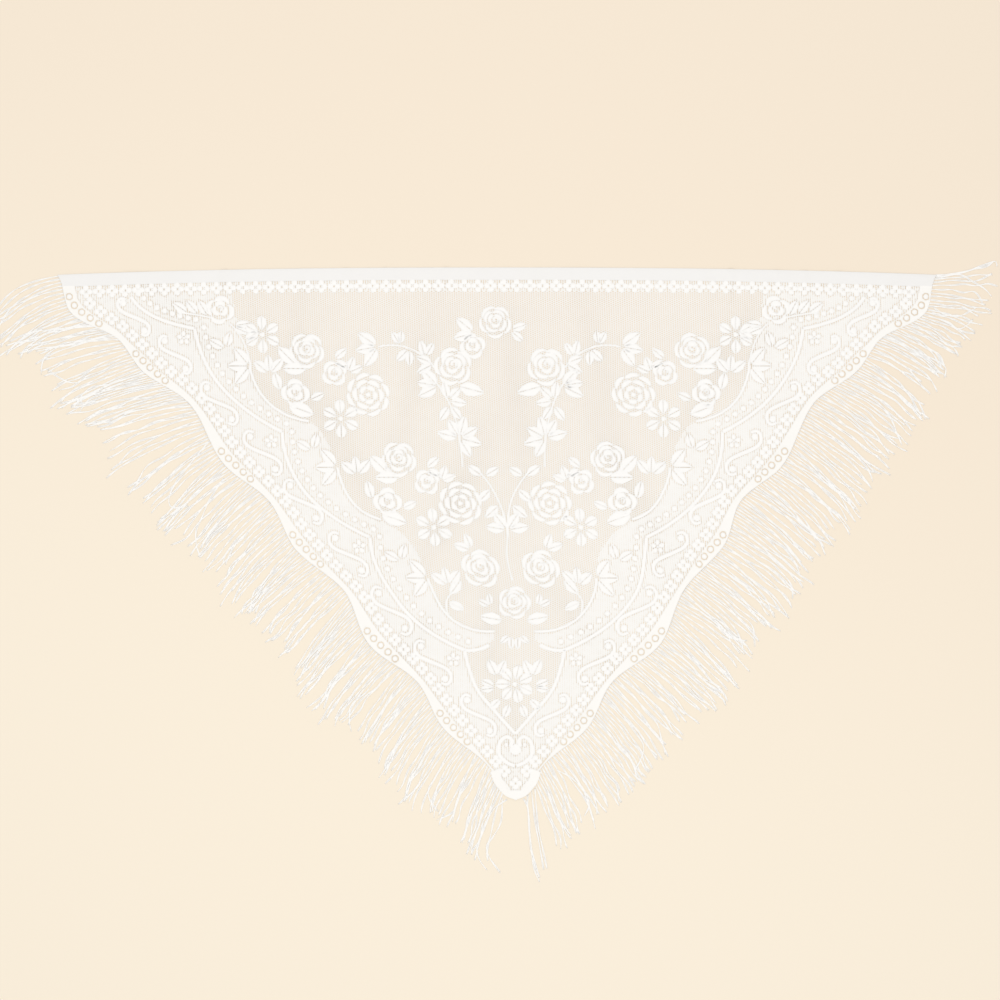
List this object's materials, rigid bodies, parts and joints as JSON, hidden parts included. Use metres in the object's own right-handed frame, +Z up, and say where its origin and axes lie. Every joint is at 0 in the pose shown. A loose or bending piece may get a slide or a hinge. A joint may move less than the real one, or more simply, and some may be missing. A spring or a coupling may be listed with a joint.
{
  "type": "triangular lace shawl",
  "caption": "Triangular lace shawl laid flat, with a plain band along its straight edge, scalloped sides, raised flowers and scrolls, and a long fringe.",
  "frame": {"origin": "on the flat underside, under the middle of the laid cloth", "axes": "+X along the straight edge, +Y from the point of the triangle towards the straight edge, +Z up from the surface it lies on"},
  "size_m": [1.5211, 0.9071, 0.0024],
  "materials": {
    "lace": "off-white warp-knitted lace, dense satiny figures on an open hexagonal net",
    "fringe": "off-white loose twisted yarns with a soft sheen"
  },
  "bodies": {
    "root": {"lace_panel": "lace", "fringe_left": "fringe", "fringe_right": "fringe"}
  },
  "joints": []
}
